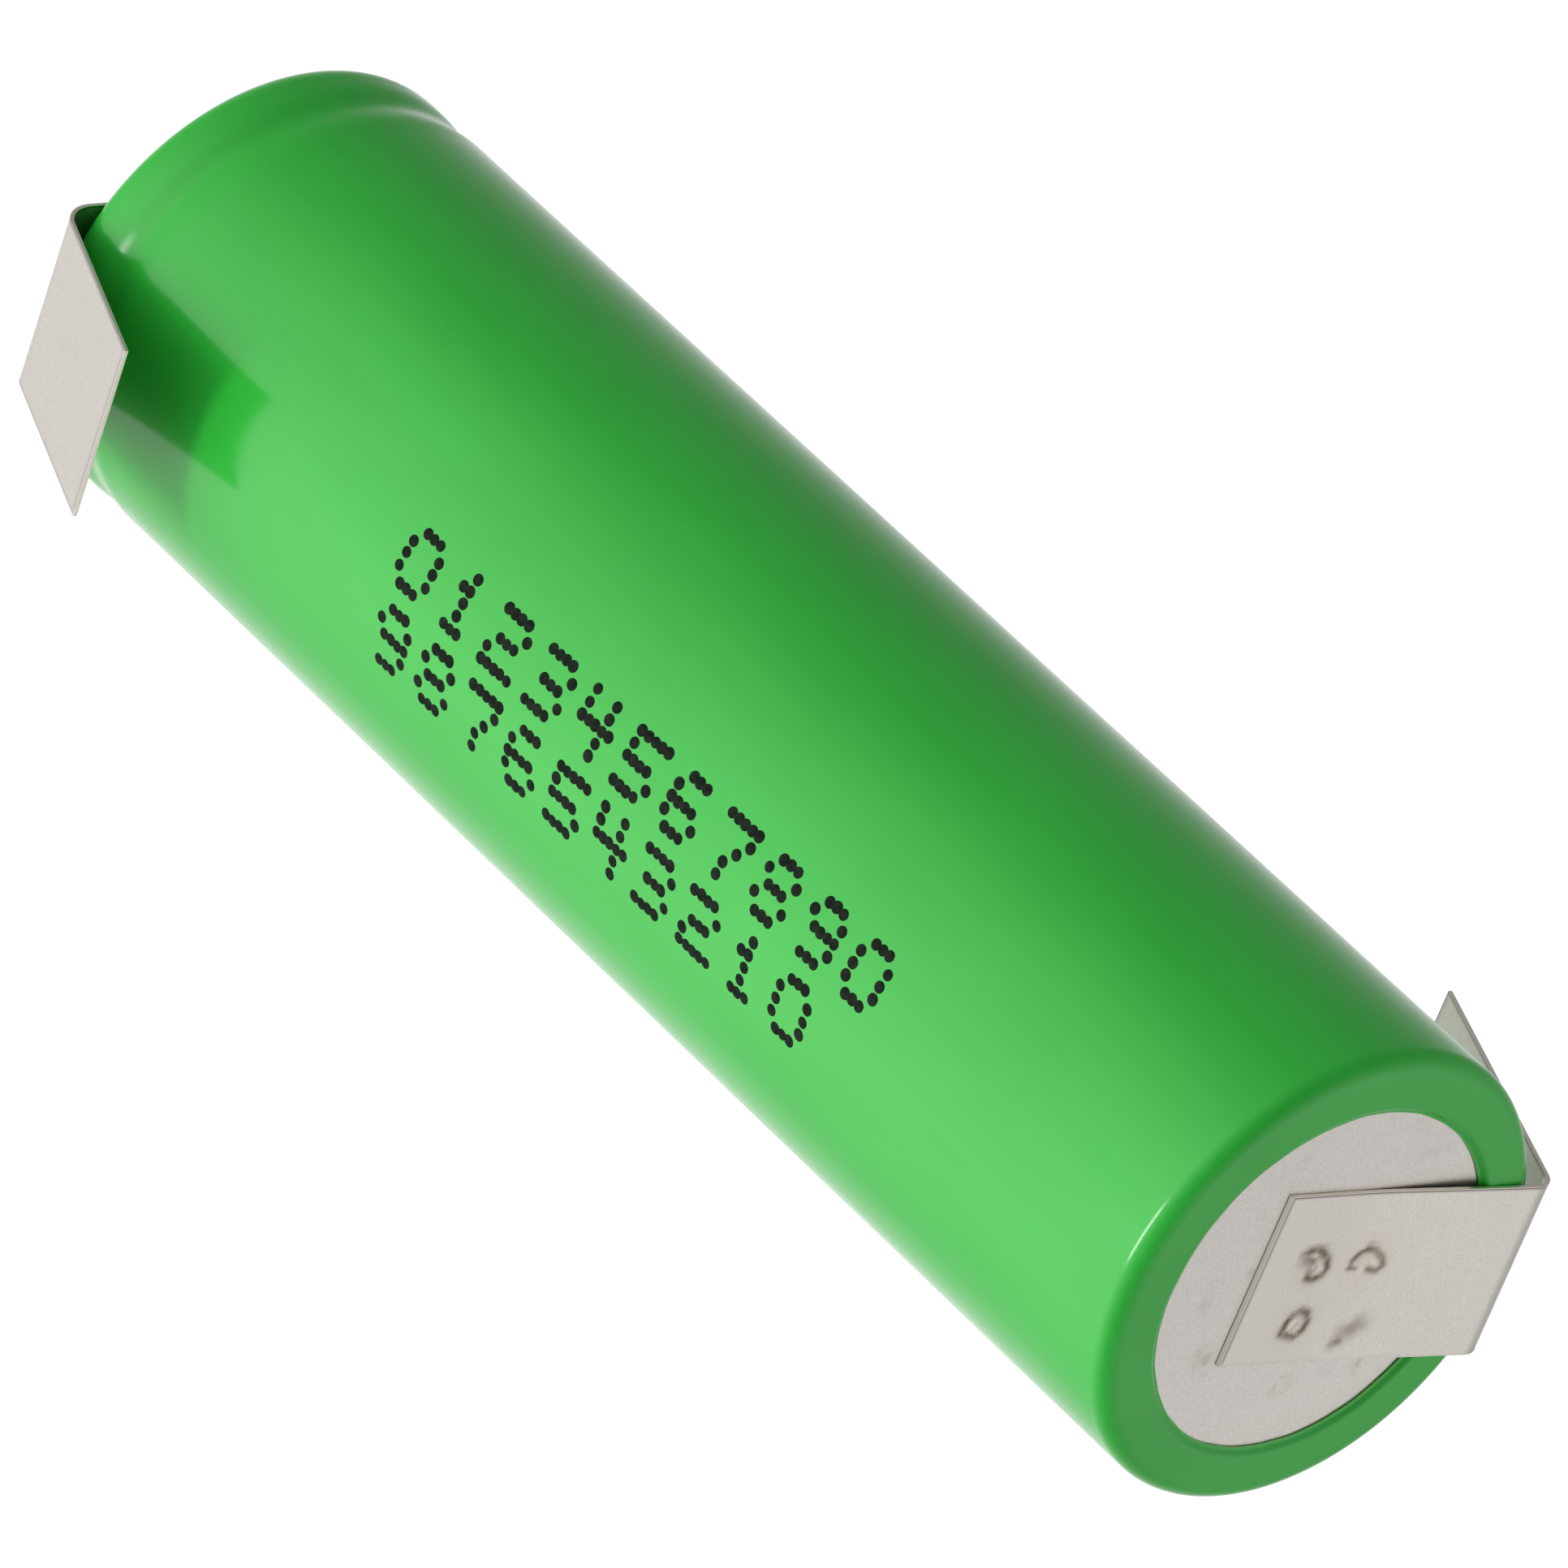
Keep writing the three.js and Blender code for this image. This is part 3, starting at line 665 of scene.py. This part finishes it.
def solder_tab(pole):
    """One nickel strip: welded flat, rising over the sleeve's lip, bent round and leaning away."""
    spec = TABS[pole]
    hinge = joint(f"{pole}_tab_bend")
    away = -AXIS if pole == "negative" else AXIS
    lateral = -Vector(hinge["axis"]).normalized()
    outward = lateral.cross(away)
    pin = Vector(hinge["pos_m"])
    base = ORIGIN + AXIS * spec["end"] * MM
    base += lateral * (pin - base).dot(lateral)
    stations, flat_count = strip_stations(spec, (pin - base).dot(outward) / MM, (pin - base).dot(away) / MM)
    ys = strip_spacing(-STRIP_WIDTH / 2, STRIP_WIDTH / 2, *WELDED_Y)

    n, m = len(stations), len(ys)
    x, z, normal_x, normal_z = np.repeat(stations, m, axis=0).T
    y = np.tile(ys, n)
    steps = np.diff(stations[:, :2], axis=0, prepend=stations[:1, :2])
    along = np.repeat(np.cumsum(np.hypot(*steps.T)), m)
    flat = np.repeat(np.arange(n) < flat_count, m)
    rise, scorch, halo = (mark * flat for mark in weld_marks(x, y))
    to_edge = np.minimum.reduce([STRIP_WIDTH / 2 - np.abs(y), along, along.max() - along])
    rise += BURR_HEIGHT * np.exp(-(to_edge / BURR_WIDTH) ** 2)
    sheared = np.where(x == INNER_END, SHEAR, 0.0)
    outer = STRIP_THICKNESS + rise
    inner_face = np.stack([x - sheared, y, z], axis=1)
    outer_face = np.stack([x + normal_x * outer, y, z + normal_z * outer], axis=1)
    points = np.array(base) + np.vstack([inner_face, outer_face]) @ (np.array([outward, lateral, away]) * MM)

    nodes = [f"{pole}_tab_weld_leg", f"{pole}_tab_free_leg"]
    tab = piece(f"{pole}_tab", points, strip_faces(n, m), NICKEL, body=None, nodes=nodes)
    # Painted shade with the burr: a dark line just inside each edge, fainter along one of them
    burr_and_shade_line = np.exp(-((to_edge - BURR_AND_SHADE_LINE) / BURR_AND_SHADE_LINE_WIDTH) ** 2)
    burr_and_shade_line *= np.where(y < BURR_AND_SHADE_LINE * 2 - STRIP_WIDTH / 2, FAINT_BURR_AND_SHADE, 1.0)
    # Painted highlight on the cut faces round the strip
    cut_face_highlight = (to_edge == 0).astype(float)
    for name, values in (("scorch", scorch), ("halo", halo), ("burr_and_shade", burr_and_shade_line), ("cut_face_highlight", cut_face_highlight)):
        set_attribute(tab, name, np.tile(values, 2))
    soften_edges(tab)
    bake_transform(tab)


def soften_edges(obj):
    """Faces out and a small bevel along the sharp edges, kept in the mesh itself."""
    mesh = bmesh.new()
    mesh.from_mesh(obj.data)
    bmesh.ops.recalc_face_normals(mesh, faces=mesh.faces)
    mesh.to_mesh(obj.data)
    mesh.free()
    bevel = obj.modifiers.new("edges", "BEVEL")
    bevel.width = EDGE_BEVEL * MM
    bevel.segments = 2
    bevel.limit_method = "ANGLE"
    bevel.angle_limit = math.radians(50)
    keep_modified(obj)


for pole in TABS:
    solder_tab(pole)

# Print ------------------------------------------------------------------------------------------------
DIGITS = {
    "0": "01110 10001 10001 10001 01110",
    "1": "00100 01100 00100 00100 01110",
    "2": "11110 00001 01110 10000 11111",
    "3": "11110 00001 01110 00001 11110",
    "4": "10010 10010 11111 00010 00010",
    "5": "11111 10000 11110 00001 11110",
    "6": "01110 10000 11110 10001 01110",
    "7": "11111 00001 00010 00100 00100",
    "8": "01110 10001 01110 10001 01110",
    "9": "01110 10001 01111 00001 01110",
}
DOT_AXIAL, DOT_ROUND = 0.25, 0.235  # half sizes
DOT_SIDES = 14
DOT_GROWTH = 0.93, 1.06  # a drop's least and greatest size, times the half sizes
DOT_WANDER = 0.02  # how far a drop may land from its place
DOT_RINGS = (0.75, 0.85), (1.0, -0.1)  # share of the half size and of the ink's height
PRINT_SEED = 7
COLUMN_PITCH, ROW_PITCH, DIGIT_PITCH = 0.388, 0.52, 2.65
INK_HEIGHT = 0.012
PRINT_SKEW = 0.069  # degrees round the cell for each millimetre along it
# Each row's digits, and how far along and round the cell its first top dot lies
PRINT_ROWS = [("01234567890", 43.8, -162.3), ("9876543210", 43.6, -181.4)]


def ink_dot(z, angle, rng):
    """Points and faces of one low drop of ink that follows the sleeve."""
    sides = DOT_SIDES
    grow = rng.uniform(*DOT_GROWTH)
    z += rng.uniform(-DOT_WANDER, DOT_WANDER)
    angle += rng.uniform(-DOT_WANDER, DOT_WANDER) / RADIUS
    points = [(RADIUS + INK_HEIGHT, angle, z)]
    for share, lift in DOT_RINGS:
        for k in range(sides):
            t = 2 * math.pi * k / sides
            across = DOT_ROUND * grow * share * math.sin(t) / RADIUS
            along = DOT_AXIAL * grow * share * math.cos(t)
            points.append((RADIUS + INK_HEIGHT * lift, angle + across, z + along))
    points.append((RADIUS - INK_HEIGHT, angle, z))
    faces = []
    for k in range(sides):
        a, b = 1 + k, 1 + (k + 1) % sides
        faces += [(0, a, b), (a, a + sides, b + sides, b), (a + sides, 2 * sides + 1, b + sides)]
    return [(r * math.cos(t), r * math.sin(t), h) for r, t, h in points], faces


def print_rows():
    """Two rows of counting digits, each a grid of drops."""
    rng = random.Random(PRINT_SEED)
    points, faces = [], []
    for text, first, top in PRINT_ROWS:
        for i, digit in enumerate(text):
            for row, line in enumerate(DIGITS[digit].split()):
                for column, on in enumerate(line):
                    if on == "0":
                        continue
                    z = first - i * DIGIT_PITCH - column * COLUMN_PITCH
                    angle = math.radians(top + PRINT_SKEW * (first - z)) - row * ROW_PITCH / RADIUS
                    dot, around = ink_dot(z, angle, rng)
                    faces += [tuple(len(points) + v for v in face) for face in around]
                    points += dot
    piece("print_dots", to_row(points), faces, INK)


print_rows()

# Pieces that stay as the CAD made them --------------------------------------------------------------------
DARK_PLASTIC = fibre("moulded_gasket", (0.03, 0.03, 0.033), 0.6)
WHITE_PLASTIC = fibre("moulded_insulator", (0.78, 0.77, 0.72), 0.55)
BOARD = fibre("insulating_board", (0.62, 0.5, 0.3), 0.8)
SEPARATOR = fibre("separator_film", (0.84, 0.84, 0.8), 0.5, 0.1)
ALUMINIUM = metal("sheet_aluminium", (0.78, 0.78, 0.79), 0.34)
INNER = {
    "crimp_gasket": DARK_PLASTIC,
    "ptc_ring": fibre("ptc_polymer", (0.05, 0.05, 0.055), 0.8),
    "burst_disc": ALUMINIUM,
    "cid_insulator_ring": WHITE_PLASTIC,
    "cid_contact_disc": ALUMINIUM,
    "upper_insulator_disc": BOARD,
    "lower_insulator_disc": BOARD,
    "inner_separator": SEPARATOR,
    "outer_separator": SEPARATOR,
    "cathode_sheet": fibre("cathode_coating", (0.03, 0.03, 0.032), 0.85, 0.08),
    "anode_sheet": fibre("anode_coating", (0.06, 0.055, 0.05), 0.8, 0.08),
    "winding_tape": fibre("winding_tape", (0.1, 0.25, 0.52), 0.45, 0.6, 0.004),
    "centre_pin": metal("pin_steel", (0.55, 0.55, 0.54), 0.3),
    "positive_lead": ALUMINIUM,
    "negative_lead": metal("lead_nickel", (0.6, 0.57, 0.53), 0.36),
}
for node, material in INNER.items():
    slots = frame["nodes"][node].material_slots
    if not slots:
        frame["nodes"][node].data.materials.append(material)
    for slot in slots:
        slot.material = material

# Floor, light and camera ------------------------------------------------------------------------------
FLOOR_REACH, FLOOR_LEVEL = 3.0, -0.00002  # metres, just under the cell
FLOOR_GLOW = 1.0  # keeps the sweep plain white, with no shadow


def floor():
    """A pale sweep that only the camera sees: it lends the cell neither light nor a reflection."""
    mesh = bpy.data.meshes.new("floor")
    r, z = FLOOR_REACH, FLOOR_LEVEL
    mesh.from_pydata([(-r, -r, z), (r, -r, z), (r, r, z), (-r, r, z)], [], [(0, 1, 2, 3)])
    s = Surface("pale_floor", (0.22, 0.22, 0.22), 0.9)
    s.set("Specular IOR Level", 0.1)
    s.set("Emission Color", (1, 1, 1, 1))
    s.set("Emission Strength", FLOOR_GLOW)
    mesh.materials.append(s.material)
    obj = bpy.data.objects.new("floor", mesh)
    bpy.context.scene.collection.objects.link(obj)
    obj.visible_diffuse = obj.visible_glossy = obj.visible_shadow = False


def towards(azimuth, elevation):
    """A unit vector; azimuth is measured from +X towards +Y."""
    a, e = math.radians(azimuth), math.radians(elevation)
    return Vector((math.cos(a) * math.cos(e), math.sin(a) * math.cos(e), math.sin(e)))


def softbox(name, azimuth, elevation, distance, size, radiance):
    """An area light that faces the cell; distance and size are in metres."""
    direction = towards(azimuth, elevation)
    light = bpy.data.lights.new(name, "AREA")
    light.shape = "RECTANGLE"
    light.size, light.size_y = size
    light.energy = radiance * math.pi * size[0] * size[1]
    obj = bpy.data.objects.new(name, light)
    obj.location = direction * distance
    obj.rotation_mode = "QUATERNION"
    obj.rotation_quaternion = direction.to_track_quat("Z", "Y")
    bpy.context.scene.collection.objects.link(obj)


# Big soft lights all round the cell: azimuth, elevation, radiance
SKY = {
    "front_low": (60, -10, 1.6),
    "front_high": (60, 40, 1.15),
    "overhead": (30, 65, 0.3),
    "back_right": (305, 20, 0.13),
    "left_low": (205, -10, 0.8),
    "left_below": (180, -35, 0.5),
    "back_low": (240, -10, 0.3),
    "right_below": (330, -35, 0.7),
    "underneath": (345, -65, 0.45),
}
SKY_TIGHTNESS = 5.0
KEY_LIGHT = {"azimuth": 71, "elevation": 24, "distance": 0.6, "size": (0.08, 0.27), "radiance": 13.0}


def world(lobes):
    """White surroundings made of soft-edged lights."""
    scene_world = bpy.data.worlds.new("studio")
    scene_world.use_nodes = True
    tree = scene_world.node_tree

    def node_math(operation, *values):
        node = tree.nodes.new("ShaderNodeMath")
        node.operation = operation
        for socket, value in zip(node.inputs, values):
            if isinstance(value, bpy.types.NodeSocket):
                tree.links.new(value, socket)
            else:
                socket.default_value = value
        return node.outputs[0]

    direction = tree.nodes.new("ShaderNodeTexCoord").outputs["Generated"]
    total = 0.0
    for azimuth, elevation, radiance in lobes.values():
        facing = tree.nodes.new("ShaderNodeVectorMath")
        facing.operation = "DOT_PRODUCT"
        tree.links.new(direction, facing.inputs[0])
        facing.inputs[1].default_value = towards(azimuth, elevation)
        fall = node_math("MULTIPLY_ADD", facing.outputs["Value"], SKY_TIGHTNESS, -SKY_TIGHTNESS)
        total = node_math("MULTIPLY_ADD", node_math("EXPONENT", fall), radiance, total)
    background = tree.nodes["Background"]
    background.inputs["Color"].default_value = (1, 1, 1, 1)
    tree.links.new(total, background.inputs["Strength"])
    bpy.context.scene.world = scene_world


CAMERA_AZIMUTH, CAMERA_ELEVATION, CAMERA_ROLL = 234.11, 42.32, 0.15
CAMERA_DISTANCE, CAMERA_LENS = 597.2, 389.7  # both in millimetres
AIM_SHIFT = Vector((-0.84, -0.28, -0.56))  # from the cell's middle, in millimetres


def camera():
    """At the photograph's viewing angle; azimuth 0 looks along +Y."""
    data = bpy.data.cameras.new("camera")
    data.sensor_width = 36
    data.lens = CAMERA_LENS
    data.clip_start, data.clip_end = 0.05, 10
    obj = bpy.data.objects.new("camera", data)
    a, e = math.radians(CAMERA_AZIMUTH), math.radians(CAMERA_ELEVATION)
    back = Vector((math.sin(a) * math.cos(e), -math.cos(a) * math.cos(e), math.sin(e)))
    aim = ORIGIN + AXIS * LENGTH * MM / 2 + AIM_SHIFT * MM
    obj.location = aim + back * CAMERA_DISTANCE * MM
    roll = Matrix.Rotation(math.radians(CAMERA_ROLL), 3, "Z")
    obj.rotation_mode = "QUATERNION"
    obj.rotation_quaternion = ((-back).to_track_quat("-Z", "Y").to_matrix() @ roll).to_quaternion()
    bpy.context.scene.collection.objects.link(obj)
    bpy.context.scene.camera = obj


floor()
world(SKY)
softbox("key", **KEY_LIGHT)
camera()
bpy.context.scene.view_settings.view_transform = "Standard"
